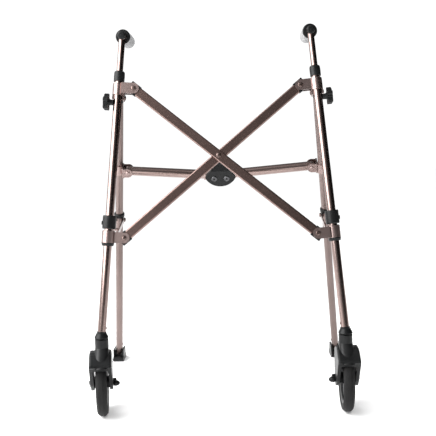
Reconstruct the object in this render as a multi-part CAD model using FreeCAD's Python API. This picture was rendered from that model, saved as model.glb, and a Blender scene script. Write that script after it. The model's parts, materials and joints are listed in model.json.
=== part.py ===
import FreeCAD, Part
import os
from math import atan2, cos, hypot, pi, radians, sin

# Folding wheeled walking frame.  Millimetres, +Z up, front faces -Y, +X to the viewer's right
# when looking along +Y.  The origin is the bottom centre of the whole frame's box.

V = FreeCAD.Vector
X, Y, Z = V(1, 0, 0), V(0, 1, 0), V(0, 0, 1)
O = V(0, 0, 0)

# ---- driving dimensions -------------------------------------------------------------------
LEAN = radians(9.0)             # front legs and cross brace lean back at the top
FOOT_Z = 191.5                  # lower end of the front leg's axis, above the floor
OPEN = radians(39.7)            # angle of the brace bars to the horizontal when open
ARM_TOP, ARM_LOW = 244.0, 281.0     # brace bar: centre rivet to top pivot, to lower pivot
PIVOT_OFF = 36.0                # brace pivots to the leg's axis
TOP_PIVOT_S = 557.0             # top brace pivot, measured up the leg from its foot
LEG_R, LEG_WALL = 9.5, 2.17
LEG_START, LEG_END = 8.0, 577.0
HANDLE_R, HANDLE_WALL = 7.25, 1.8
HANDLE_START, GRIP_S = 415.0, 678.5     # lower end of the handle tube; grip height up the leg
GRIP_LEN, GRIP_R, FLANGE_R = 96.0, 15.5, 16.6
BAR_H, BAR_T, BAR_CORNER = 22.0, 12.0, 3.2
BAR_WALL, BAR_END = 1.6, 10.5       # the bar reaches this far past its end pivots
PLATE_T, GAP = 3.0, 0.4
EAR_R = 12.2
RING_R, RING_BORE, BUSH_WALL = 14.4, 11.9, 1.1
REAR_PIVOT_S, REAR_PIVOT_Q = 542.0, 26.0    # rear leg pivot: up the leg, and behind its axis
REAR_ANGLE, TOE = radians(35.0), radians(3.6)
REAR_R = 9.5
LINK_RHO, LINK_Q, LINK_DROP = 332.0, 35.5, 6.0  # link pivots: down the rear leg; behind the ring
LINK_H = 12.0
CLEVIS_RHO, CLEVIS_OFF = 191.0, 24.0
CROSS_R, CROSS_DROOP = 11.0, radians(4.8)
CROSS_SIDE, CROSS_RISE = 11.3, 5.5      # the left half passes in front of the right, at one height
SCREW_X = 15.0
WHEEL_R, TYRE_W, TRAIL = 76.2, 24.0, 30.0
HOOD_HALF, SLOT_HALF, HOOD_ROUND = 24.7, 17.3, 5.0
NECK_R, NECK_TOP = 15.2, 184.5
OUTSET = 4.0                    # wheel and hood stand this far outside the steering axis
CASTER_YAW = {"left": radians(8.4), "right": radians(-2.4)}     # how far each has swivelled
SOLE_W, SOLE_LEN, SOLE_H, SOLE_IN = 29.5, 62.0, 34.0, 2.0
BOLT_R, FIT = 3.0, 0.06         # every pivot bolt and rivet; running clearance in a bore
CAP_HALF, CAP_BORDER = 12.0, 1.6    # black end caps of the brace bars
HOUSING_HALF, HOUSING_DEEP, SHELL_T = 36.9, 26.0, 3.0
STUB_FRONT, STUB_R = 12.0, 9.5
FLANGE_Y, FLANGE_T = 8.5, 5.0
KNOB_DROP = 32.0                # clamp knob below the top brace pivot
STEM_R, AXLE_R = 6.0, 5.0

# ---- derived geometry ---------------------------------------------------------------------
SPLAY = atan2((ARM_LOW - ARM_TOP) * cos(OPEN), (ARM_LOW + ARM_TOP) * sin(OPEN))
PIVOT_SPAN = hypot((ARM_LOW - ARM_TOP) * cos(OPEN), (ARM_LOW + ARM_TOP) * sin(OPEN))
LOW_PIVOT_S = TOP_PIVOT_S - PIVOT_SPAN
FOOT_X = ARM_TOP * cos(OPEN) + TOP_PIVOT_S * sin(SPLAY) + PIVOT_OFF * cos(SPLAY)
GRIP_AXIS = Y


def frame(origin, ex, ey, ez):
    """Placement of a local frame with unit axes ex, ey, ez."""
    m = FreeCAD.Matrix(ex.x, ey.x, ez.x, origin.x, ex.y, ey.y, ez.y, origin.y,
                       ex.z, ey.z, ez.z, origin.z, 0, 0, 0, 1)
    return FreeCAD.Placement(m)


# Brace plane: x across, y to the rear of the plane, z up the plane, origin at leg foot height.
PLANE = frame(V(0, 0, FOOT_Z), X, V(0, cos(LEAN), -sin(LEAN)), V(0, sin(LEAN), cos(LEAN)))
# Left leg: x inwards, y to the rear, z up the leg, origin at the foot of the leg's axis.
LEG = PLANE.multiply(FreeCAD.Placement(V(-FOOT_X, 0, 0), FreeCAD.Rotation(Y, SPLAY * 180 / pi)))
# Swing frame of the left rear leg: like LEG, toed out about the leg's axis.
SWING = LEG.multiply(FreeCAD.Placement(O, FreeCAD.Rotation(Z, TOE * 180 / pi)))
# Left rear leg: z up the rear leg from its pivot, x along the pivot.
REAR = SWING.multiply(FreeCAD.Placement(V(0, REAR_PIVOT_Q, REAR_PIVOT_S),
                                        FreeCAD.Rotation(X, REAR_ANGLE * 180 / pi)))
REAR_LEN = REAR.Base.z / -REAR.Rotation.multVec(V(0, 0, -1)).z      # pivot to floor


def rear_plane():
    """Plane through both rear legs: x across, y its rear normal, z up along the legs, x = 0."""
    up = REAR.Rotation.multVec(Z)
    slope = V(0, up.y, up.z).normalize()
    normal = slope.cross(X)
    hinge = REAR.multVec(V(0, 0, -CLEVIS_RHO))
    return frame(V(0, hinge.y, hinge.z), X, normal, slope), hinge.x


TOP_PIVOT = LEG.multVec(V(PIVOT_OFF, 0, TOP_PIVOT_S))
RIVET_U = PLANE.inverse().multVec(TOP_PIVOT).z - ARM_TOP * sin(OPEN)     # centre rivet up the plane
BACK, CLEVIS_AXIS_X = rear_plane()
CLEVIS_X = CLEVIS_AXIS_X + CLEVIS_OFF
# Crossbar halves by side (-1 left, 1 right): how far the inner pivot hangs below the tube's axis,
# and the length along the axis; both inner pivots lie at one height in the rear plane.
SCREW_DROP = {-1: 3.0, 1: 3.0 - 2 * CROSS_RISE * cos(CROSS_DROOP)}
CROSS_LEN = {side: (-SCREW_X - CLEVIS_X + drop * sin(CROSS_DROOP)) / cos(CROSS_DROOP)
             for side, drop in SCREW_DROP.items()}
SCREW_V = CROSS_RISE - CROSS_LEN[-1] * sin(CROSS_DROOP) - SCREW_DROP[-1] * cos(CROSS_DROOP)


# ---- shape helpers ------------------------------------------------------------------------
def cyl(r, a, b):
    """Cylinder of radius r from point a to point b."""
    d = b - a
    return Part.makeCylinder(r, d.Length, a, d)


def tube(r, wall, a, b):
    d = (b - a).normalize()
    return cyl(r, a, b).cut(cyl(r - wall, a - d, b + d))


def box(x0, x1, y0, y1, z0, z1):
    return Part.makeBox(x1 - x0, y1 - y0, z1 - z0, V(x0, y0, z0))


def extruded(points, direction):
    """Prism over a closed polygon of points."""
    return Part.Face(Part.makePolygon(points + [points[0]])).extrude(direction)


def revolved(profile, base=O, axis=Z):
    """Solid of revolution; profile holds (radius, height) pairs about the Z axis."""
    points = [V(r, 0, h) for r, h in profile]
    solid = Part.Face(Part.makePolygon(points + [points[0]])).revolve(O, Z, 360)
    solid.Placement = FreeCAD.Placement(base, FreeCAD.Rotation(Z, axis))
    return solid


def dome(r, height, base, axis):
    """Low rivet head on a flat face."""
    steps = [(r, 0), (r, 0.35 * height), (0.82 * r, 0.78 * height), (0.45 * r, height), (0, height)]
    return revolved([(0, 0)] + steps, base, axis)


def fused(shapes):
    first, rest = shapes[0], shapes[1:]
    return first.fuse(rest).removeSplitter() if rest else first


def place(shape, pl):
    out = shape.copy()
    out.Placement = pl.multiply(out.Placement)
    return out


def mirrored(shape):
    return shape.mirror(O, X)


def rounded_bar(length_a, length_b, height, depth, corner):
    """Rectangular tube section with rounded corners, along x from length_a to length_b."""
    bar = box(length_a, length_b, -depth / 2, depth / 2, -height / 2, height / 2)
    edges = [e for e in bar.Edges if abs(e.tangentAt(e.FirstParameter).x) > 0.99]
    return bar.makeFillet(corner, edges)


def ear(x0, x1, y0, y1, r, z=0.0):
    """Plate in the x-z plane from x0 to a round end centred on x1, spanning y0 to y1."""
    return box(x0, x1, y0, y1, z - r, z + r).fuse(cyl(r, V(x1, y0, z), V(x1, y1, z)))


# ---- front leg (leg frame) ----------------------------------------------------------------
def leg_tube():
    body = tube(LEG_R, LEG_WALL, V(0, 0, LEG_START), V(0, 0, LEG_END))
    stud = TOP_PIVOT_S - KNOB_DROP
    return body.cut(cyl(BOLT_R + FIT, V(-LEG_R - 2, 0, stud), V(0, 0, stud)))


def upper_collar():
    low, high = TOP_PIVOT_S + 16.0, TOP_PIVOT_S + 40.0
    r_in, r_out, lip = LEG_R, 12.0, HANDLE_R + 0.3
    profile = [(r_in, low), (r_out, low), (r_out + 0.3, low + 12), (r_out, high - 4),
               (r_out - 1, high - 1.4), (r_out - 3, high), (lip, high), (lip, LEG_END), (r_in, LEG_END)]
    return revolved(profile)


def brace_bracket(s, front, sleeve_r, bore_r, low, high):
    """Sleeve with two ears; the ears hold a bar that lies in front of or behind the plane."""
    sign = -1 if front else 1
    root, face = sleeve_r - 4.5, BAR_T + 2 * GAP
    spans = [sorted((sign * a, sign * (a + PLATE_T))) for a in (-PLATE_T, face)]
    ears = [ear(root, PIVOT_OFF, y0, y1, EAR_R, s) for y0, y1 in spans]
    web = box(root, sleeve_r + 0.5, min(spans)[0], max(spans)[1], s - EAR_R, s + EAR_R)
    sleeve = cyl(sleeve_r, V(0, 0, s + low), V(0, 0, s + high))
    solid = fused([sleeve, web] + ears)
    solid = solid.cut(cyl(BOLT_R + FIT, V(PIVOT_OFF, -40, s), V(PIVOT_OFF, 40, s)))
    return solid.cut(cyl(bore_r, V(0, 0, s + low - 1), V(0, 0, s + high + 1)))


def rear_ears():
    """Two ears behind the front leg that carry the rear leg's pivot (swing frame)."""
    half, r, q, s = REAR_R + 0.6, 9.0, REAR_PIVOT_Q, REAR_PIVOT_S
    top = TOP_PIVOT_S + 10
    plates = []
    for x0, x1 in ((-half - PLATE_T, -half), (half, half + PLATE_T)):
        plate = box(x0, x1, 0, q, s - r, top).fuse(cyl(r, V(x0, q, s), V(x1, q, s)))
        slope = [V(x0 - 1, y, z)
                 for y, z in ((12, top + 1), (q + 30, top + 1), (q + 30, s - 8), (q + 5, s + 7.6))]
        corner = extruded(slope, V(PLATE_T + 2, 0, 0))
        bore = cyl(BOLT_R, V(x0 - 1, q, s), V(x1 + 1, q, s))
        plates.append(plate.cut(corner).cut(bore).removeSplitter())
    return plates


def toed(shape):
    """Turned about the leg's axis with the rear leg."""
    return place(shape, FreeCAD.Placement(O, FreeCAD.Rotation(Z, TOE * 180 / pi)))


def top_bracket(front):
    solid = brace_bracket(TOP_PIVOT_S, front, LEG_R + 3.0, LEG_R, -14.5, 11.5)
    solid = fused([solid] + [toed(p) for p in rear_ears()])
    return solid.cut(cyl(LEG_R, V(0, 0, 0), V(0, 0, LEG_END + 60)))


def mid_collar():
    low = LOW_PIVOT_S + 18.0
    high = low + 30.0
    profile = [(LEG_R, low), (14.2, low), (15.2, low + 2), (15.2, high - 2.5), (14.4, high), (LEG_R, high)]
    ring = revolved(profile)
    bump = cyl(4.5, V(-14, 0, low + 13), V(-16.8, 0, low + 13))
    return ring.fuse(bump).removeSplitter()


def leg_bolts():
    """Pivot bolt of the rear leg and the small rivet at the foot of the front leg."""
    half = REAR_R + 0.6 + PLATE_T
    p0, p1 = V(-half, REAR_PIVOT_Q, REAR_PIVOT_S), V(half, REAR_PIVOT_Q, REAR_PIVOT_S)
    bolt = fused([cyl(BOLT_R, p0, p1), dome(5.5, 2.6, p1, X), dome(5.5, 3.4, p0, V(-1, 0, 0))])
    foot = dome(3.0, 2.1, V(LEG_R - 0.6, 0, 18.0), X)
    return [toed(bolt), foot.cut(cyl(LEG_R, V(0, 0, 0), V(0, 0, 50)))]


def caster_socket():
    """Black skirt and socket at the leg's foot, upright, with the leg's tube let into it."""
    rim = FOOT_Z - 4.0
    bore = STEM_R + FIT
    skirt = revolved([(bore, rim), (15.6, rim), (15.6, rim + 1.6), (11.2, rim + 10.5), (8, rim + 12),
                      (8, rim + 8.8), (bore, rim + 8.8)], V(-FOOT_X, 0, 0))
    sleeve = place(cyl(LEG_R + 1.2, V(0, 0, 4.5), V(0, 0, LEG_START + 1.6)), LEG)
    hollow = cyl(bore, V(-FOOT_X, 0, rim - 5), V(-FOOT_X, 0, rim + 8.8))
    solid = skirt.fuse(sleeve).cut(hollow).cut(place(cyl(LEG_R, V(0, 0, LEG_START), V(0, 0, 60)), LEG))
    return max(solid.removeSplitter().Solids, key=lambda s: s.Volume)


# ---- sliding ring on the front leg --------------------------------------------------------
def slider_bracket(front):
    solid = brace_bracket(LOW_PIVOT_S, front, RING_R, RING_BORE + BUSH_WALL, -13.0, 14.0)
    z = LOW_PIVOT_S - LINK_DROP
    half, r = 7.2, 6.4
    lug = box(-half, half, 0, LINK_Q, z - r, z + r)
    lug = lug.fuse(cyl(r, V(-half, LINK_Q, z), V(half, LINK_Q, z)))
    solid = solid.fuse(toed(lug))
    return solid.cut(cyl(RING_BORE + BUSH_WALL, V(0, 0, z - 60), V(0, 0, z + 60))).removeSplitter()


def slider_bush():
    low, high = LOW_PIVOT_S - 20.0, LOW_PIVOT_S + 14.8
    lip = LOW_PIVOT_S - 13.0
    r_ring = RING_BORE + BUSH_WALL
    return revolved([(RING_BORE, low), (RING_BORE + 0.9, low), (RING_R, lip - 1.5), (RING_R, lip),
                     (r_ring, lip), (r_ring, high), (RING_BORE, high)])


# ---- brace bars (plane frame, bar along x about the centre rivet) -------------------------
def brace_bar(centre_bore):
    depth, height = BAR_T / 2 - BAR_WALL, BAR_H / 2 - BAR_WALL
    bar = rounded_bar(-ARM_TOP - BAR_END, ARM_LOW + BAR_END, BAR_H, BAR_T, BAR_CORNER)
    bar = bar.cut(box(-ARM_TOP - 40, ARM_LOW + 40, -depth, depth, -height, height))
    for x, r in ((-ARM_TOP, BOLT_R), (0.0, centre_bore), (ARM_LOW, BOLT_R)):
        bar = bar.cut(cyl(r, V(x, -BAR_T, 0), V(x, BAR_T, 0)))
    return bar


def bar_caps():
    """Black end sleeves over both ends of a bar, open for the bar's own section."""
    caps = []
    solid_bar = rounded_bar(-ARM_TOP - BAR_END, ARM_LOW + BAR_END, BAR_H, BAR_T, BAR_CORNER)
    for x in (-ARM_TOP, ARM_LOW):
        cap = box(x - CAP_HALF, x + CAP_HALF, -BAR_T / 2, BAR_T / 2,
                  -BAR_H / 2 - CAP_BORDER, BAR_H / 2 + CAP_BORDER)
        caps.append(cap.cut(solid_bar))
    return [s for cap in caps for s in cap.Solids]


def bar_frame(angle, y):
    """Frame of a bar in the brace plane: x runs down the bar from the top end."""
    centre = V(0, y, RIVET_U)
    return PLANE.multiply(FreeCAD.Placement(centre, FreeCAD.Rotation(Y, angle * 180 / pi)))


def bar_rivets(front):
    """Rivets through both ears of each bracket; the front bar also carries the centre rivet."""
    half, seat = BAR_T / 2 + GAP + PLATE_T, 0.1
    spans = [(-ARM_TOP, -half - seat, half + seat), (ARM_LOW, -half - seat, half + seat)]
    if front:
        spans.append((0.0, -BAR_T / 2, BAR_T * 1.5 + 2 * GAP + seat))
    out = []
    for x, y0, y1 in spans:
        heads = [dome(5.7, 2.5, V(x, y0, 0), V(0, -1, 0)), dome(5.2, 2.1, V(x, y1, 0), Y)]
        out.append(fused([cyl(BOLT_R, V(x, y0, 0), V(x, y1, 0))] + heads))
    if front:
        washer = revolved([(BOLT_R, 0), (7.0, 0), (7.0, 2 * GAP - 0.3), (BOLT_R, 2 * GAP - 0.3)],
                          V(0, BAR_T / 2, 0), Y)
        out[-1] = out[-1].fuse(washer).removeSplitter()
    return out


# ---- rear leg (rear leg frame) ------------------------------------------------------------
def rear_tube():
    low = -REAR_LEN + 16.0
    solid = tube(REAR_R, LEG_WALL, V(0, 0, low), V(0, 0, -11.0))
    return solid.cut(cyl(BOLT_R, V(-20, 0, -LINK_RHO), V(20, 0, -LINK_RHO)))


def rear_knuckle():
    """Solid plug with a rounded top that takes the pivot bolt."""
    rounded = cyl(REAR_R, V(-12, 0, 0), V(12, 0, 0)).fuse(box(-12, 12, -12, 12, -11.0, 0))
    head = cyl(REAR_R, V(0, 0, -11.0), V(0, 0, 10.0)).common(rounded)
    plug = cyl(REAR_R - LEG_WALL, V(0, 0, -40), V(0, 0, -11.0))
    return head.fuse(plug).removeSplitter().cut(cyl(BOLT_R + FIT, V(-20, 0, 0), V(20, 0, 0)))


def link_collar():
    high = -LINK_RHO + 20.6
    low = high - 11.0
    profile = [(REAR_R, low), (12.2, low), (13.0, low + 2), (13.0, high - 3), (11.4, high), (REAR_R, high)]
    return revolved(profile)


def rear_bolts():
    """Bolt that carries the side link, and the rivet above the foot."""
    half = REAR_R + 0.5 + PLATE_T + 0.1
    z = -LINK_RHO
    rod = cyl(BOLT_R, V(-half, 0, z), V(half, 0, z))
    bolt = fused([rod, dome(5.2, 3.2, V(half, 0, z), X), dome(5.2, 2.6, V(-half, 0, z), V(-1, 0, 0))])
    low = dome(3.0, 2.1, V(REAR_R - 0.6, 0, -REAR_LEN + 56.0), X)
    return [bolt, low.cut(cyl(REAR_R, V(0, 0, -REAR_LEN), V(0, 0, -REAR_LEN + 90)))]


def crossbar_clevis(side):
    """Collar on the rear leg with a channel for the crossbar's end (rear plane frame)."""
    low = -CLEVIS_RHO - side * CROSS_RISE - 12
    collar = place(place(cyl(REAR_R + 3.0, V(0, 0, low), V(0, 0, low + 24)), REAR), BACK.inverse())
    y0 = side * CROSS_SIDE - CROSS_R - GAP
    y1 = side * CROSS_SIDE + CROSS_R + GAP
    x0, x1 = CLEVIS_AXIS_X + REAR_R + 1.0, CLEVIS_X
    z = -side * CROSS_RISE
    web = box(x0, x0 + 3.4, y0 - PLATE_T, y1 + PLATE_T, z - 13, z + 13)
    ears = [ear(x0, x1, y, y + PLATE_T, 11.0, z) for y in (y0 - PLATE_T, y1)]
    leg = cyl(REAR_R, V(0, 0, -CLEVIS_RHO - 40), V(0, 0, -CLEVIS_RHO + 40))
    bore = place(place(leg, REAR), BACK.inverse())
    pin = cyl(BOLT_R, V(x1, y0 - 9, z), V(x1, y1 + 9, z))
    return fused([collar, web] + ears).cut(bore).cut(pin).removeSplitter()


def rear_foot():
    """Upright glide: a short ski sole with two ears that cradle the leg's end."""
    ground = REAR.multVec(V(0, 0, -REAR_LEN))
    cx, cy = ground.x + SOLE_IN, ground.y - 6.0
    half_w, half_l = SOLE_W / 2, SOLE_LEN / 2
    side = [(-half_l + 7, 0), (half_l - 7, 0), (half_l, 5), (half_l, 10), (half_l - 10, 14),
            (18, SOLE_H), (-20, SOLE_H), (-half_l + 8, 14), (-half_l, 10), (-half_l, 5)]
    block = extruded([V(-half_w, y, z) for y, z in side], V(SOLE_W, 0, 0))
    upright = [e for e in block.Edges
               if abs(e.tangentAt(e.FirstParameter).x) < 0.01 and e.CenterOfMass.z > 9]
    block = block.makeChamfer(1.6, upright)
    block.translate(V(cx, cy, 0))
    channel = box(cx - REAR_R - 1.4, cx + REAR_R + 1.4, cy - 60, cy + 60, 13.0, SOLE_H + 5)
    saddle = block.common(box(cx - REAR_R - 3, cx + REAR_R + 3, cy - 12, cy + 16, 12, 22))
    clear = place(cyl(REAR_R + 0.02, V(0, 0, -REAR_LEN + 16.0), V(0, 0, -REAR_LEN + 90)), REAR)
    solid = block.cut(channel).fuse(saddle).cut(clear)
    return max(solid.removeSplitter().Solids, key=lambda s: s.Volume)


# ---- side link (swing frame) --------------------------------------------------------------
def link_ends():
    z_ring = LOW_PIVOT_S - LINK_DROP
    rear = V(0, REAR_PIVOT_Q + LINK_RHO * sin(REAR_ANGLE), REAR_PIVOT_S - LINK_RHO * cos(REAR_ANGLE))
    return V(0, LINK_Q, z_ring), rear


def side_link():
    """Two flat plates from the sliding ring to the rear leg, tied by a spacer."""
    a, b = link_ends()
    length = (b - a).Length
    pitch = atan2(b.z - a.z, b.y - a.y)
    local = FreeCAD.Placement(a, FreeCAD.Rotation(X, pitch * 180 / pi))
    half = REAR_R + 0.5
    parts = []
    for x0, x1 in ((-half - PLATE_T, -half), (half, half + PLATE_T)):
        plate = box(x0, x1, 0, length, -LINK_H / 2, LINK_H / 2)
        plate = plate.fuse([cyl(LINK_H / 2, V(x0, y, 0), V(x1, y, 0)) for y in (0, length)])
        plate = plate.cut(cyl(BOLT_R + FIT, V(x0 - 1, length, 0), V(x1 + 1, length, 0)))
        parts.append(plate.removeSplitter())
    parts.append(cyl(4.0, V(-half - 1, length * 0.5, 0), V(half + 1, length * 0.5, 0)))
    for sign in (-1, 1):
        face = V(sign * (half + PLATE_T), 0, 0)
        parts.append(dome(4.6, 2.2, face, V(sign, 0, 0)))
    return place(fused(parts), local)


# ---- rear crossbar (rear plane frame) -----------------------------------------------------
def crossbar_half(side):
    """Left half (side -1, in front) or the right half's shape before mirroring (side 1)."""
    length, drop = CROSS_LEN[side], SCREW_DROP[side]
    end = length + 1.0
    body = tube(CROSS_R, 1.6, V(3, 0, 0), V(end, 0, 0))
    round_end = cyl(CROSS_R - 1.4, V(0, -20, 0), V(0, 20, 0)).fuse(box(3, 16, -20, 20, -20, 20))
    outer = cyl(CROSS_R, V(-CROSS_R, 0, 0), V(16, 0, 0)).common(round_end)
    lug = box(length - 24, length, -7, 7, min(0, -drop - 8), max(0, -drop + 8))
    lug = lug.fuse(cyl(8.0, V(length, -7, -drop), V(length, 7, -drop)))
    inner = cyl(CROSS_R, V(length - 26, 0, 0), V(end, 0, 0))
    half = fused([body, outer, lug, inner])
    for x, z in ((0, 0), (length, -drop)):
        half = half.cut(cyl(BOLT_R + FIT, V(x, -20, z), V(x, 20, z)))
    half.rotate(O, Y, CROSS_DROOP * 180 / pi)
    half.translate(V(CLEVIS_X, side * CROSS_SIDE, -side * CROSS_RISE))
    return half


def clevis_pin(side):
    reach = CROSS_R + GAP + PLATE_T
    y, z = side * CROSS_SIDE, -side * CROSS_RISE
    a, b = V(CLEVIS_X, y - reach, z), V(CLEVIS_X, y + reach, z)
    return fused([cyl(BOLT_R, a, b), dome(5.2, 2.4, a, V(0, -1, 0)), dome(5.2, 2.4, b, Y)])


def housing_outline(y):
    """Half-lemon outline of the centre hinge's plates."""
    w, top, low, belly = HOUSING_HALF, SCREW_V + 20.0, SCREW_V - 22.0, SCREW_V + 2.0
    shoulder = HOUSING_HALF * 0.64
    left, right = V(-w, y, belly), V(w, y, belly)
    edges = [Part.Arc(left, V(0, y, low), right).toShape(),
             Part.Arc(right, V(w * 0.9, y, belly + 9), V(shoulder, y, top)).toShape(),
             Part.makeLine(V(shoulder, y, top), V(-shoulder, y, top)),
             Part.Arc(V(-shoulder, y, top), V(-w * 0.9, y, belly + 9), left).toShape()]
    return Part.Face(Part.Wire(edges))


def hinge_shell():
    """Front plate and the front half of the bevelled cap; open below and at the ends."""
    depth, t, top = HOUSING_DEEP, SHELL_T, SCREW_V + 33.0
    plate = housing_outline(-depth).extrude(V(0, t, 0))
    rim = [e for e in plate.Edges
           if abs(e.CenterOfMass.y + depth) < 0.01 and e.CenterOfMass.z < SCREW_V + 19]
    plate = plate.makeFillet(1.4, rim)
    w = HOUSING_HALF * 0.64
    roof = SCREW_V + SCREW_DROP[-1] + CROSS_R + 1.4
    section = [V(-w, -depth, SCREW_V + 20), V(-w, -depth + 7, top), V(-w, 0, top), V(-w, 0, roof),
               V(-w, -depth + t, roof), V(-w, -depth + t, SCREW_V + 20)]
    cap = extruded(section, V(2 * w, 0, 0))
    taper = extruded([V(-w - 1, -40, SCREW_V + 19), V(-w - 1, -40, top + 1), V(-w + 8, -40, top + 1),
                      V(-w, -40, SCREW_V + 20)], V(0, 50, 0))
    shell = plate.fuse(cap.cut(taper).cut(mirrored(taper))).removeSplitter()
    for x in (-SCREW_X, SCREW_X):
        shell = shell.cut(cyl(BOLT_R, V(x, -40, SCREW_V), V(x, 0, SCREW_V)))
    return shell


def back_shell():
    """Rear plate with the rear half of the cap, without screw holes."""
    shell = hinge_shell().mirror(O, Y)
    plugs = [cyl(BOLT_R, V(x, HOUSING_DEEP - SHELL_T, SCREW_V), V(x, HOUSING_DEEP, SCREW_V))
             for x in (-SCREW_X, SCREW_X)]
    return fused([shell] + plugs)


def housing_screws():
    """Two short pivot screws, held in the front shell."""
    out = []
    for x in (-SCREW_X, SCREW_X):
        head = revolved([(0, 0), (7.0, 0), (7.0, 1.4), (6.2, 2.2), (2.6, 2.2), (2.6, 0.8), (0, 0.8)],
                        V(x, -HOUSING_DEEP, SCREW_V), V(0, -1, 0))
        shank = cyl(BOLT_R, V(x, -HOUSING_DEEP, SCREW_V), V(x, -1.0, SCREW_V))
        out.append(fused([head, shank]))
    return out


# ---- handle (leg frame for the tube, world for the grip) ----------------------------------
def grip_centre():
    return LEG.multVec(V(0, 0, GRIP_S))


def handle_tube():
    c = grip_centre()
    upright = place(tube(HANDLE_R, HANDLE_WALL, V(0, 0, HANDLE_START), V(0, 0, GRIP_S)), LEG)
    back = FLANGE_Y + GRIP_LEN
    stub = tube(STUB_R, 2.0, c - GRIP_AXIS * STUB_FRONT, c + GRIP_AXIS * back)
    bore = cyl(STUB_R - 2.0, c - GRIP_AXIS * STUB_FRONT, c + GRIP_AXIS * back)
    return upright.cut(bore).fuse(stub).removeSplitter()


def handle_plug():
    c = grip_centre()
    base = c - GRIP_AXIS * STUB_FRONT
    head = revolved([(0, 0), (9.3, 0), (9.3, 1.6), (8.0, 3.6), (5.0, 4.8), (0, 5.2)], base, V(0, -1, 0))
    return head.fuse(cyl(STUB_R - 2.0, base, base + GRIP_AXIS * 5)).removeSplitter()


def grip_flange():
    start = grip_centre() + GRIP_AXIS * FLANGE_Y
    return revolved([(STUB_R, 0), (FLANGE_R - 1.6, 0), (FLANGE_R, 1.4), (FLANGE_R, FLANGE_T - 0.8),
                     (FLANGE_R - 0.8, FLANGE_T), (STUB_R, FLANGE_T)], start, GRIP_AXIS)


def grip():
    start = grip_centre() + GRIP_AXIS * (FLANGE_Y + FLANGE_T)
    length = GRIP_LEN - FLANGE_T + 4
    r, belly = GRIP_R, GRIP_R + 0.9
    profile = [(STUB_R, 0), (r - 0.6, 0), (r, 2), (belly, length * 0.45), (r, length - 12),
               (r - 2.4, length - 4), (r - 6.5, length), (0, length), (0, length - 4), (STUB_R, length - 4)]
    return revolved(profile, start, GRIP_AXIS)


# ---- clamp knob (leg frame) ---------------------------------------------------------------
def knob():
    """Lobed head on a hub, on the outer side of the leg."""
    z = TOP_PIVOT_S - KNOB_DROP
    inner, face = -LEG_R - 10.8, -LEG_R - 21.8
    head = cyl(14.0, V(inner, 0, z), V(face, 0, z))
    for i in range(5):
        a = 2 * pi * i / 5 + pi / 2
        centre = V(0, 13.2 * cos(a), z + 13.2 * sin(a))
        head = head.fuse(cyl(6.6, centre + V(inner, 0, 0), centre + V(face, 0, 0)))
    hub = revolved([(0, 0), (6.4, 0), (6.4, 4), (7.4, 10.8), (0, 10.8)], V(-LEG_R - 0.4, 0, z), V(-1, 0, 0))
    cap = revolved([(0, 0), (8, 0), (6.5, 1.4), (0, 1.8)], V(face, 0, z), V(-1, 0, 0))
    head = fused([head, hub, cap])
    outline = [e for e in head.Edges
               if abs(e.CenterOfMass.x - face) < 0.02 and 8 < e.Length and e.BoundBox.DiagonalLength < 20]
    return head.makeChamfer(1.8, outline).cut(cyl(BOLT_R, V(0, 0, z), V(inner - 4, 0, z)))


def knob_stud():
    z = TOP_PIVOT_S - KNOB_DROP
    return cyl(BOLT_R, V(-HANDLE_R - 0.3, 0, z), V(-LEG_R - 13.5, 0, z))


# ---- swivel caster (world frame about its steering axis, before yaw) ----------------------
def hood_side():
    """Side outline of the fork: (y, z) pairs."""
    return [(-6, 156), (-20, 153), (-47, 139), (-48.5, 133), (-43, 129), (-4, 79), (12, 65), (20, 60.5),
            (30, 60), (39, 63), (45, 71), (47, 96), (47, 128), (40, 146), (16, 155.5)]


def neck_bulge():
    """Round neck that runs forward and down into the hood's front lip."""
    rings = [Part.Wire(Part.makeCircle(r, V(x, y, z)))
             for r, x, y, z in ((NECK_R, 0, 0, 166.0), (NECK_R + 0.6, -OUTSET / 2, -37.0, 130.0))]
    return Part.makeLoft(rings, True, True)


def caster_fork():
    """Neck, hood and two legs, with a slot for the wheel."""
    mid = V(-OUTSET, TRAIL, WHEEL_R)
    gap = (mid.x - SLOT_HALF, mid.x + SLOT_HALF)
    body = extruded([V(-HOOD_HALF - OUTSET, y, z) for y, z in hood_side()], V(2 * HOOD_HALF, 0, 0))
    edges = [e for e in body.Edges if abs(e.tangentAt(e.FirstParameter).x) < 0.01
             and e.CenterOfMass.z > 134 and e.CenterOfMass.y < 38]
    body = body.makeFillet(HOOD_ROUND, edges)
    neck = revolved([(0, 165), (NECK_R, 165), (NECK_R, NECK_TOP - 0.8), (NECK_R - 0.8, NECK_TOP),
                     (0, NECK_TOP)])
    stem = cyl(STEM_R, V(0, 0, 170), V(0, 0, NECK_TOP + 11.0))
    slot = cyl(WHEEL_R + 4.5, mid - X * SLOT_HALF, mid + X * SLOT_HALF)
    behind = box(*gap, 15.4, 90, WHEEL_R, 190)
    below = box(*gap, -46, 90, 30, WHEEL_R)
    bore = cyl(AXLE_R, mid - X * 40, mid + X * 40)
    solid = body.fuse(neck_bulge()).fuse(neck).cut(slot).cut(behind).cut(below).fuse(stem).removeSplitter()
    return max(solid.cut(bore).Solids, key=lambda s: s.Volume)


def caster_axle():
    """Axle with its round cover on the outer side."""
    outer = V(-HOOD_HALF - OUTSET, TRAIL, WHEEL_R)
    inner = V(HOOD_HALF + 7 - OUTSET, TRAIL, WHEEL_R)
    cover = revolved([(0, 0), (12.5, 0), (12.5, 1.2), (9, 3), (0, 3.4)], outer, V(-1, 0, 0))
    return fused([cyl(AXLE_R, outer, inner), cover])


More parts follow.
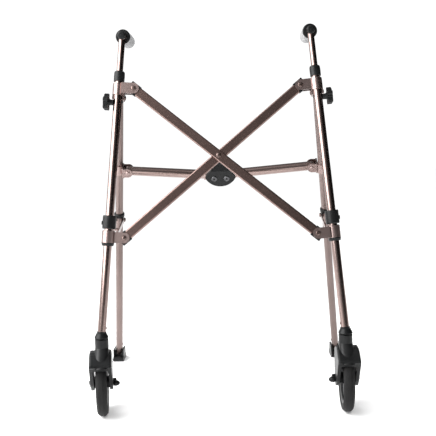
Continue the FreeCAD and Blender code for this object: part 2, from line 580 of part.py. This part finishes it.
def lock_lever():
    """Short foot lever on the inner end of the axle, with a rounded pad."""
    x0 = HOOD_HALF + 0.4 - OUTSET
    arm = cyl(7.6, V(x0, TRAIL, WHEEL_R), V(x0 + 7.1, TRAIL, WHEEL_R))
    pad = revolved([(0, 0), (5.2, 0), (6.6, 3.5), (6.6, 8), (5.0, 12), (2.4, 14.6), (0, 15.2)],
                   V(x0, TRAIL - 8, WHEEL_R - 2), X)
    bore = cyl(AXLE_R + FIT, V(x0 - 1, TRAIL, WHEEL_R), V(x0 + 7.1, TRAIL, WHEEL_R))
    return arm.fuse(pad).cut(bore).removeSplitter()


def tyre():
    w, r = TYRE_W / 2, WHEEL_R
    profile = [(r - 19, -w + 1.5), (r - 13, -w), (r - 6, -w + 0.6), (r - 1.8, -w * 0.62), (r, -w * 0.22),
               (r, w * 0.22), (r - 1.8, w * 0.62), (r - 6, w - 0.6), (r - 13, w), (r - 19, w - 1.5)]
    return revolved(profile, V(-OUTSET, TRAIL, WHEEL_R), X)


def rim():
    """Ring, five double spokes and a hub."""
    r_out, hub_r, hub_w = WHEEL_R - 19, 13.5, SLOT_HALF - 0.6
    edge = TYRE_W / 2 - 1.5
    ring = revolved([(r_out - 6, -8.5), (r_out, -edge), (r_out, edge), (r_out - 6, 8.5),
                     (r_out - 7.5, 3), (r_out - 7.5, -3)])
    hub = cyl(hub_r, V(0, 0, -hub_w), V(0, 0, hub_w))
    spokes = []
    for i in range(5):
        spoke = box(hub_r - 3, r_out - 5, -4.2, 4.2, -5.5, 5.5)
        spoke.rotate(O, Z, 72 * i + 18)
        spokes.append(spoke)
    wheel = fused([ring, hub] + spokes).cut(cyl(AXLE_R + FIT, V(0, 0, -40), V(0, 0, 40)))
    wheel.Placement = FreeCAD.Placement(V(-OUTSET, TRAIL, WHEEL_R), FreeCAD.Rotation(Z, X))
    return wheel


# ---- assembly -----------------------------------------------------------------------------
def compound(shapes):
    return Part.makeCompound([s for shape in shapes for s in shape.Solids])


def leg_nodes():
    """Everything built in the left leg's frame, by node stem."""
    return {"leg_tube": leg_tube(), "upper_collar": upper_collar(), "mid_collar": mid_collar(),
            "leg_bolts": compound(leg_bolts()), "slider_bush": slider_bush(),
            "knob_head": compound([knob(), knob_stud()])}


def both_sides():
    """All mirrored pairs, in world coordinates: {stem: (left, right)}."""
    left = {stem: place(shape, LEG) for stem, shape in leg_nodes().items()}
    rear = {"rear_leg_tube": rear_tube(), "rear_knuckle": rear_knuckle(), "link_collar": link_collar(),
            "rear_bolts": compound(rear_bolts())}
    left.update({stem: place(shape, REAR) for stem, shape in rear.items()})
    left.update({"side_link": place(side_link(), SWING), "caster_socket": caster_socket(),
                 "rear_foot": rear_foot(), "handle_tube": handle_tube(), "grip": grip(),
                 "handle_trim": compound([handle_plug(), grip_flange()])})
    out = {stem: (shape, mirrored(shape)) for stem, shape in left.items()}
    for stem, bracket, left_in_front in (("top_bracket", top_bracket, True),
                                         ("slider_bracket", slider_bracket, False)):
        pair = [place(bracket(front), LEG) for front in (left_in_front, not left_in_front)]
        out[stem] = (pair[0], mirrored(pair[1]))
    return out


def crossbar_nodes():
    """The rear crossbar, its clevises and its centre hinge; the left half lies in front."""
    clevis = {side: compound([crossbar_clevis(side), clevis_pin(side)]) for side in (-1, 1)}
    shapes = {"crossbar_clevis_left": clevis[-1], "crossbar_clevis_right": mirrored(clevis[1]),
              "crossbar_left": crossbar_half(-1), "crossbar_right": mirrored(crossbar_half(1)),
              "hinge_shell_front": hinge_shell(), "hinge_shell_rear": back_shell(),
              "hinge_screws": compound(housing_screws())}
    return {name: place(shape, BACK) for name, shape in shapes.items()}


def brace_nodes():
    """The two brace bars with their caps and rivets."""
    y_front, y_rear = -BAR_T / 2 - GAP, BAR_T / 2 + GAP
    out = {}
    for stem, angle, y, bore in (("bar_front", OPEN, y_front, BOLT_R),
                                 ("bar_rear", pi - OPEN, y_rear, BOLT_R + FIT)):
        bar = bar_frame(angle, y)
        out[stem] = place(brace_bar(bore), bar)
        out[stem + "_caps"] = place(compound(bar_caps()), bar)
        out[stem + "_rivets"] = place(compound(bar_rivets(stem == "bar_front")), bar)
    return out


def caster_nodes():
    """Both casters, each turned a little about its steering axis."""
    pieces = {"caster_fork": caster_fork(), "caster_axle": caster_axle(), "lock_lever": lock_lever(),
              "tyre": tyre(), "rim": rim()}
    out = {}
    for side, sign in (("left", -1), ("right", 1)):
        for stem, shape in pieces.items():
            piece = shape.copy() if side == "left" else mirrored(shape)
            piece.rotate(O, Z, CASTER_YAW[side] * 180 / pi)
            piece.translate(V(sign * FOOT_X, 0, 0))
            out[stem + "_" + side] = piece
    return out


def build():
    nodes = {}
    for stem, (left, right) in both_sides().items():
        nodes[stem + "_left"], nodes[stem + "_right"] = left, right
    for group in (crossbar_nodes(), brace_nodes(), caster_nodes()):
        nodes.update(group)
    whole = Part.makeCompound(list(nodes.values())).optimalBoundingBox()
    shift = V(-(whole.XMin + whole.XMax) / 2, -(whole.YMin + whole.YMax) / 2, -whole.ZMin)
    for shape in nodes.values():
        shape.translate(shift)
    return nodes, shift


def main():
    os.makedirs("parts", exist_ok=True)
    nodes, shift = build()
    for name, shape in nodes.items():
        shape.exportStep("parts/" + name + ".step")
    print(len(nodes), "nodes, origin shift", shift)


main()
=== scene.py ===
import json
from math import cos, pi, radians, sin

import bmesh
import bpy
from mathutils import Matrix, Vector


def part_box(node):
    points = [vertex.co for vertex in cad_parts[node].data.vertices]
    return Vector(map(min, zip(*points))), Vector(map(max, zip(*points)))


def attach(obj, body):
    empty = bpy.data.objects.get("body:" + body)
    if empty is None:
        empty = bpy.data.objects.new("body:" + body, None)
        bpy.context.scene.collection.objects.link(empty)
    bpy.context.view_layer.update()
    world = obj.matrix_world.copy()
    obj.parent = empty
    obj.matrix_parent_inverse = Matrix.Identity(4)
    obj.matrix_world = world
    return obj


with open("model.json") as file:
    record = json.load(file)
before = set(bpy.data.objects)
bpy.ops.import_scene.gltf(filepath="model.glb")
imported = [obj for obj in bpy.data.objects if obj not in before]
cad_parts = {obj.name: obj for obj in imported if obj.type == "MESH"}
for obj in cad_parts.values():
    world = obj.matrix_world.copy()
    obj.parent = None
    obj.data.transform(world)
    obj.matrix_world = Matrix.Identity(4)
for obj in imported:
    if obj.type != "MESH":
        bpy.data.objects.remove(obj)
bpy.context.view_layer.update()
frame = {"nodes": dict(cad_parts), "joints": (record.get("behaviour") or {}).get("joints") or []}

NODES = frame["nodes"]
SIDES = ("left", "right")

# Camera: place in metres, angles in degrees.
CAMERA_AT = (0.0358, -1.7908, 0.6132)
CAMERA_PITCH, CAMERA_YAW, CAMERA_ROLL = 5.96, 1.45, 1.55
CAMERA_LENS, SENSOR = 59.88, 36.0

FLOOR_RADIUS, FLOOR_EDGES = 14.0, 96
BACKDROP_STRENGTH = 1.08
REFLECTION_FALLOFF = 2.2     # how quickly reflections darken from left to right
MERGE_WITHIN = 1e-6          # metres
FACE_DEPTH = 1e-4            # metres: how far from a node's farthest point its end face reaches
CREASE = radians(35)


# ---- shader helpers -----------------------------------------------------------------------
class Shader:
    """A node material with a Principled surface and object-space coordinates."""

    def __init__(self, name, **values):
        self.material = bpy.data.materials.new(name)
        self.material.use_nodes = True
        self.tree = self.material.node_tree
        self.surface = self.tree.nodes["Principled BSDF"]
        self.place = self.add("ShaderNodeTexCoord").outputs["Object"]
        for socket, value in values.items():
            self.surface.inputs[socket.replace("_", " ")].default_value = value

    def add(self, kind, **values):
        node = self.tree.nodes.new(kind)
        for name, value in values.items():
            setattr(node, name, value)
        return node

    def link(self, output, socket):
        self.tree.links.new(output, socket)

    def noise(self, scale, detail=3.0, stretch=(1, 1, 1), rough=0.5):
        mapping = self.add("ShaderNodeMapping")
        mapping.inputs["Scale"].default_value = stretch
        self.link(self.place, mapping.inputs["Vector"])
        node = self.add("ShaderNodeTexNoise")
        node.inputs["Scale"].default_value = scale
        node.inputs["Detail"].default_value = detail
        node.inputs["Roughness"].default_value = rough
        self.link(mapping.outputs["Vector"], node.inputs["Vector"])
        return node.outputs["Fac"]

    def cells(self, scale):
        node = self.add("ShaderNodeTexVoronoi")
        node.inputs["Scale"].default_value = scale
        self.link(self.place, node.inputs["Vector"])
        return node.outputs["Distance"]

    def spread(self, value, low, high, at=(0.3, 0.7)):
        """Maps a 0..1 pattern to a range."""
        node = self.add("ShaderNodeMapRange")
        node.inputs["From Min"].default_value, node.inputs["From Max"].default_value = at
        node.inputs["To Min"].default_value, node.inputs["To Max"].default_value = low, high
        self.link(value, node.inputs["Value"])
        return node.outputs["Result"]

    def blend(self, value, dark, light, at=(0.3, 0.7)):
        """Two colours mixed by a pattern."""
        ramp = self.add("ShaderNodeValToRGB")
        ramp.color_ramp.elements[0].position, ramp.color_ramp.elements[1].position = at
        ramp.color_ramp.elements[0].color = (*dark, 1)
        ramp.color_ramp.elements[1].color = (*light, 1)
        self.link(value, ramp.inputs["Fac"])
        return ramp.outputs["Color"]

    def bump(self, layers):
        """Stacked bumps from (pattern, depth in metres, strength)."""
        normal = None
        for pattern, depth, strength in layers:
            node = self.add("ShaderNodeBump")
            node.inputs["Distance"].default_value = depth
            node.inputs["Strength"].default_value = strength
            self.link(pattern, node.inputs["Height"])
            if normal:
                self.link(normal, node.inputs["Normal"])
            normal = node.outputs["Normal"]
        self.link(normal, self.surface.inputs["Normal"])


# ---- materials ----------------------------------------------------------------------------
def bronze(name, dark, light, roughness):
    """Anodised aluminium with fine drawing lines along the tube and a few cloudy patches."""
    m = Shader(name, Metallic=1.0, Coat_Weight=0.35, Coat_Roughness=0.1)
    cloud = m.noise(9.0, 4.0)
    lines = m.noise(900.0, 2.0, (1.0, 1.0, 0.03))
    m.link(m.blend(cloud, dark, light), m.surface.inputs["Base Color"])
    m.link(m.spread(lines, roughness - 0.02, roughness + 0.03), m.surface.inputs["Roughness"])
    m.bump([(lines, 0.00002, 0.05)])
    return m.material


def moulded_plastic(name, dark, light, roughness):
    """Black polymer with a spark-eroded grain and slightly rubbed high spots."""
    m = Shader(name, Specular_IOR_Level=0.22)
    cloud = m.noise(35.0, 5.0)
    grain = m.noise(1500.0, 2.0)
    m.link(m.blend(cloud, dark, light), m.surface.inputs["Base Color"])
    m.link(m.spread(grain, roughness - 0.06, roughness + 0.08), m.surface.inputs["Roughness"])
    m.bump([(grain, 0.00008, 0.3), (cloud, 0.0004, 0.08)])
    return m.material


def plated_steel(name, dark, light):
    """Plating on rivets and screws, thinner on the crowns."""
    m = Shader(name, Metallic=1.0)
    wear = m.noise(260.0, 4.0)
    m.link(m.blend(wear, dark, light, (0.35, 0.75)), m.surface.inputs["Base Color"])
    m.link(m.spread(wear, 0.22, 0.36), m.surface.inputs["Roughness"])
    m.bump([(m.noise(1200.0, 2.0), 0.00004, 0.3)])
    return m.material


def foam_rubber():
    """Grey closed-cell grip foam with open pores at its skin."""
    m = Shader("grip_foam", Specular_IOR_Level=0.3, Sheen_Weight=0.15, Sheen_Roughness=0.5)
    cloud = m.noise(60.0, 5.0)
    pores = m.cells(900.0)
    m.link(m.blend(cloud, (0.2, 0.2, 0.205), (0.27, 0.27, 0.275)), m.surface.inputs["Base Color"])
    m.link(m.spread(cloud, 0.72, 0.88), m.surface.inputs["Roughness"])
    m.bump([(pores, 0.0003, 0.35), (cloud, 0.0006, 0.15)])
    return m.material


def tyre_rubber():
    """Dark grey solid tyre, dusty on the tread."""
    m = Shader("tyre_rubber", Specular_IOR_Level=0.15)
    dust = m.noise(48.0, 6.0)
    grain = m.noise(1100.0, 3.0)
    m.link(m.blend(dust, (0.006, 0.006, 0.0063), (0.014, 0.0138, 0.0136)), m.surface.inputs["Base Color"])
    m.link(m.spread(dust, 0.55, 0.72), m.surface.inputs["Roughness"])
    m.bump([(grain, 0.0001, 0.35), (dust, 0.0005, 0.1)])
    return m.material


def studio_floor():
    """Pale matt floor, very faintly mottled."""
    m = Shader("studio_floor", Roughness=0.9, Specular_IOR_Level=0.1)
    mottle = m.noise(2.0, 2.0)
    m.link(m.blend(mottle, (0.95, 0.95, 0.95), (0.97, 0.97, 0.97)), m.surface.inputs["Base Color"])
    return m.material


TUBE = bronze("bronze_tube", (0.25, 0.182, 0.166), (0.3, 0.222, 0.205), 0.17)
BAR = bronze("bronze_bar", (0.19, 0.125, 0.11), (0.25, 0.168, 0.15), 0.24)
# Rear leg tubes: the tube bronze with a darker base colour, which is painted shade so they look less lit
# than the front tubes; also rougher
SHADED_SATIN = bronze("bronze_satin_shaded", (0.16, 0.12, 0.11), (0.21, 0.16, 0.15), 0.38)
PRESSED = bronze("bronze_bracket", (0.27, 0.2, 0.187), (0.33, 0.25, 0.235), 0.32)
BLACK = moulded_plastic("black_plastic", (0.003, 0.0033, 0.0035), (0.008, 0.0084, 0.0088), 0.36)
HOUSING = moulded_plastic("charcoal_plastic", (0.004, 0.0043, 0.0045), (0.009, 0.0095, 0.0098), 0.36)
PLATED = plated_steel("rivet_plating", (0.1, 0.07, 0.062), (0.24, 0.18, 0.165))
SCREW = plated_steel("screw_blacking", (0.06, 0.06, 0.063), (0.13, 0.13, 0.135))
FOAM = foam_rubber()
TYRE = tyre_rubber()

STEM_MATERIALS = {
    TUBE: ("leg_tube", "handle_tube", "crossbar"),
    BAR: ("bar_front", "bar_rear"),
    SHADED_SATIN: ("rear_leg_tube",),
    PRESSED: ("top_bracket", "slider_bracket", "crossbar_clevis", "side_link"),
    BLACK: ("upper_collar", "mid_collar", "slider_bush", "caster_socket", "lock_lever", "caster_axle", "rim",
            "rear_foot", "knob_head", "handle_trim", "rear_knuckle", "link_collar", "bar_front_caps",
            "bar_rear_caps"),
    HOUSING: ("hinge_shell_front", "hinge_shell_rear", "caster_fork"),
    PLATED: ("leg_bolts", "rear_bolts", "bar_front_rivets", "bar_rear_rivets"),
    SCREW: ("hinge_screws",),
    FOAM: ("grip",),
    TYRE: ("tyre",),
}


def dress_nodes():
    """Gives every CAD node its material."""
    by_stem = {stem: material for material, stems in STEM_MATERIALS.items() for stem in stems}
    for name, node in NODES.items():
        stem = name.removesuffix("_left").removesuffix("_right")
        material = by_stem[stem]
        if not node.data.materials:
            node.data.materials.append(material)
        for i in range(len(node.data.materials)):
            node.data.materials[i] = material


# ---- detail pieces ------------------------------------------------------------------------
def lathed(name, loops, at, axis, body, material, steps=72):
    """Rings swept round an axis through a point, from (radius, height) loops in millimetres."""
    turn = Vector(axis).to_track_quat("Z", "Y").to_matrix()
    mesh = bmesh.new()
    for loop in loops:
        rows = []
        for i in range(steps):
            a = 2 * pi * i / steps
            spokes = [Vector((r * cos(a), r * sin(a), h)) / 1000 for r, h in loop]
            rows.append([mesh.verts.new(Vector(at) + turn @ spoke) for spoke in spokes])
        for i, row in enumerate(rows):
            beside = rows[(i + 1) % steps]
            for j in range(len(loop)):
                k = (j + 1) % len(loop)
                mesh.faces.new((row[j], beside[j], beside[k], row[k]))
    bmesh.ops.remove_doubles(mesh, verts=mesh.verts, dist=MERGE_WITHIN)
    bmesh.ops.recalc_face_normals(mesh, faces=mesh.faces)
    data = bpy.data.meshes.new(name)
    mesh.to_mesh(data)
    mesh.free()
    data.materials.append(material)
    data.shade_smooth()
    data.set_sharp_from_angle(angle=CREASE)
    piece = bpy.data.objects.new(name, data)
    bpy.context.collection.objects.link(piece)
    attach(piece, body)


def joint_axis(name):
    """Direction of a joint's axis at rest."""
    return Vector(next(joint["axis"] for joint in frame["joints"] if joint["name"] == name))


def tip(node, axis, side=0):
    """Middle of a node's farthest face along an axis, on one side of the middle plane or both."""
    points = [v.co for v in NODES[node].data.vertices if v.co.x * side >= 0]
    reach = max(p.dot(axis) for p in points)
    face = [p for p in points if reach - p.dot(axis) < FACE_DEPTH]
    return sum(face, Vector()) / len(face)


def box_middle(node):
    low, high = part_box(node)
    return (Vector(low) + Vector(high)) / 2


def tyre_ribs(side):
    """Raised mould ring on each sidewall and one at each shoulder of the tread."""
    loops = []
    for s in (-1, 1):
        loops.append([(65.2, 11.0 * s), (65.8, 12.35 * s), (66.9, 12.3 * s), (67.6, 11.0 * s)])
        loops.append([(74.2, 4.5 * s), (75.75, 4.7 * s), (75.6, 5.5 * s), (74.0, 5.9 * s)])
    lathed(f"tyre_ribs_{side}", loops, box_middle(f"tyre_{side}"), joint_axis(f"wheel_{side}_roll"),
           f"wheel_{side}", TYRE, 96)


def knob_ring(side):
    """Ring round the cap of the clamp knob."""
    axis = joint_axis(f"clamp_knob_{side}_turn")
    lathed(f"knob_ring_{side}", [[(9.3, -2.2), (9.5, -1.2), (10.3, -1.2), (10.7, -2.2)]],
           tip(f"knob_head_{side}", axis), axis, f"knob_{side}", BLACK)


def plug_ring(side):
    """Mould ring on the front plug of the handle."""
    face = box_middle(f"grip_{side}")
    face.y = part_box(f"handle_trim_{side}")[0][1]
    lathed(f"plug_ring_{side}", [[(4.6, -1.4), (5.0, 0.35), (5.9, 0.3), (6.5, -1.4)]],
           face, (0, -1, 0), f"handle_{side}", BLACK)


def axle_hex(side):
    """Hexagon head in the middle of the axle cover."""
    sign = -1 if side == "left" else 1
    axis = joint_axis(f"wheel_{side}_roll") * sign
    lathed(f"axle_hex_{side}", [[(0, 1.9), (4.2, 1.9), (4.9, 1.4), (4.9, -0.6), (0, -0.6)]],
           tip(f"caster_axle_{side}", axis), axis, f"caster_{side}", SCREW, 6)


def screw_recess_shade_discs():
    """Dark hexagon discs on the two screw heads of the hinge housing, painted shade standing in for the
    recessed sockets.
    """
    front = -joint_axis("hinge_housing_swing")
    for side, sign in zip(SIDES, (-1, 1)):
        # black disc on the screw head: painted shade where a hex socket recess would be
        lathed(f"hinge_recess_shade_{side}", [[(0, 0.12), (2.6, 0.12), (2.9, 0.05), (2.9, -0.5), (0, -0.5)]],
               tip("hinge_screws", front, sign), front, "hinge_housing", BLACK, 6)


def make_details():
    for side in SIDES:
        tyre_ribs(side)
        knob_ring(side)
        plug_ring(side)
        axle_hex(side)
    screw_recess_shade_discs()


# ---- studio -------------------------------------------------------------------------------
def make_floor():
    mesh = bpy.data.meshes.new("studio_floor")
    turns = [2 * pi * i / FLOOR_EDGES for i in range(FLOOR_EDGES)]
    ring = [(FLOOR_RADIUS * cos(a), FLOOR_RADIUS * sin(a), 0.0) for a in turns]
    mesh.from_pydata(ring, [], [tuple(range(FLOOR_EDGES))])
    mesh.materials.append(studio_floor())
    floor = bpy.data.objects.new("studio_floor", mesh)
    bpy.context.collection.objects.link(floor)


def soft_light(name, at, target, size, power):
    light = bpy.data.lights.new(name, "AREA")
    light.shape = "RECTANGLE"
    light.size, light.size_y = size
    light.energy = power
    lamp = bpy.data.objects.new(name, light)
    lamp.location = at
    lamp.rotation_euler = (Vector(target) - Vector(at)).to_track_quat("-Z", "Y").to_euler()
    bpy.context.collection.objects.link(lamp)


def make_world():
    """White surroundings; what the metal reflects is paler on the left than on the right."""
    world = bpy.data.worlds.new("studio")
    world.use_nodes = True
    tree = world.node_tree
    backdrop = tree.nodes["Background"]
    backdrop.inputs["Strength"].default_value = BACKDROP_STRENGTH
    backdrop.inputs["Color"].default_value = (1, 1, 1, 1)
    place = tree.nodes.new("ShaderNodeTexCoord")
    split = tree.nodes.new("ShaderNodeSeparateXYZ")
    ramp = tree.nodes.new("ShaderNodeMapRange")
    for socket, value in (("From Min", 0.6), ("From Max", -0.6), ("To Min", 0.1), ("To Max", 1.0)):
        ramp.inputs[socket].default_value = value
    falloff = tree.nodes.new("ShaderNodeMath")
    falloff.operation = "POWER"
    falloff.inputs[1].default_value = REFLECTION_FALLOFF
    tree.links.new(place.outputs["Generated"], split.inputs["Vector"])
    tree.links.new(split.outputs["X"], ramp.inputs["Value"])
    tree.links.new(ramp.outputs["Result"], falloff.inputs[0])
    surround = tree.nodes.new("ShaderNodeBackground")
    tree.links.new(falloff.outputs["Value"], surround.inputs["Color"])
    mix = tree.nodes.new("ShaderNodeMixShader")
    path = tree.nodes.new("ShaderNodeLightPath")
    tree.links.new(path.outputs["Is Glossy Ray"], mix.inputs["Fac"])
    tree.links.new(backdrop.outputs["Background"], mix.inputs[1])
    tree.links.new(surround.outputs["Background"], mix.inputs[2])
    tree.links.new(mix.outputs["Shader"], tree.nodes["World Output"].inputs["Surface"])
    bpy.context.scene.world = world


def make_lights():
    middle = (0.0, 0.0, 0.45)
    soft_light("left_panel", (-1.75, -1.05, 1.45), (0.0, 0.0, 0.8), (2.5, 1.9), 95.0)
    soft_light("upper_left_panel", (-1.9, 0.25, 2.5), middle, (1.6, 1.6), 42.0)
    soft_light("overhead_panel", (0.1, -1.2, 2.6), middle, (2.4, 1.6), 5.0)
    make_world()


def make_camera():
    pitch, yaw, roll = (radians(a) for a in (CAMERA_PITCH, CAMERA_YAW, CAMERA_ROLL))
    ahead = Vector((-sin(yaw) * cos(pitch), cos(yaw) * cos(pitch), -sin(pitch)))
    right = ahead.cross(Vector((0, 0, 1))).normalized()
    up = right.cross(ahead)
    tilted_right = right * cos(roll) - up * sin(roll)
    tilted_up = up * cos(roll) + right * sin(roll)
    turn = Matrix((tilted_right, tilted_up, -ahead)).transposed()
    data = bpy.data.cameras.new("camera")
    data.lens, data.sensor_width = CAMERA_LENS, SENSOR
    camera = bpy.data.objects.new("camera", data)
    camera.matrix_world = Matrix.Translation(CAMERA_AT) @ turn.to_4x4()
    bpy.context.collection.objects.link(camera)
    bpy.context.scene.camera = camera


dress_nodes()
make_details()
make_floor()
make_lights()
make_camera()
bpy.context.scene.view_settings.view_transform = "Standard"
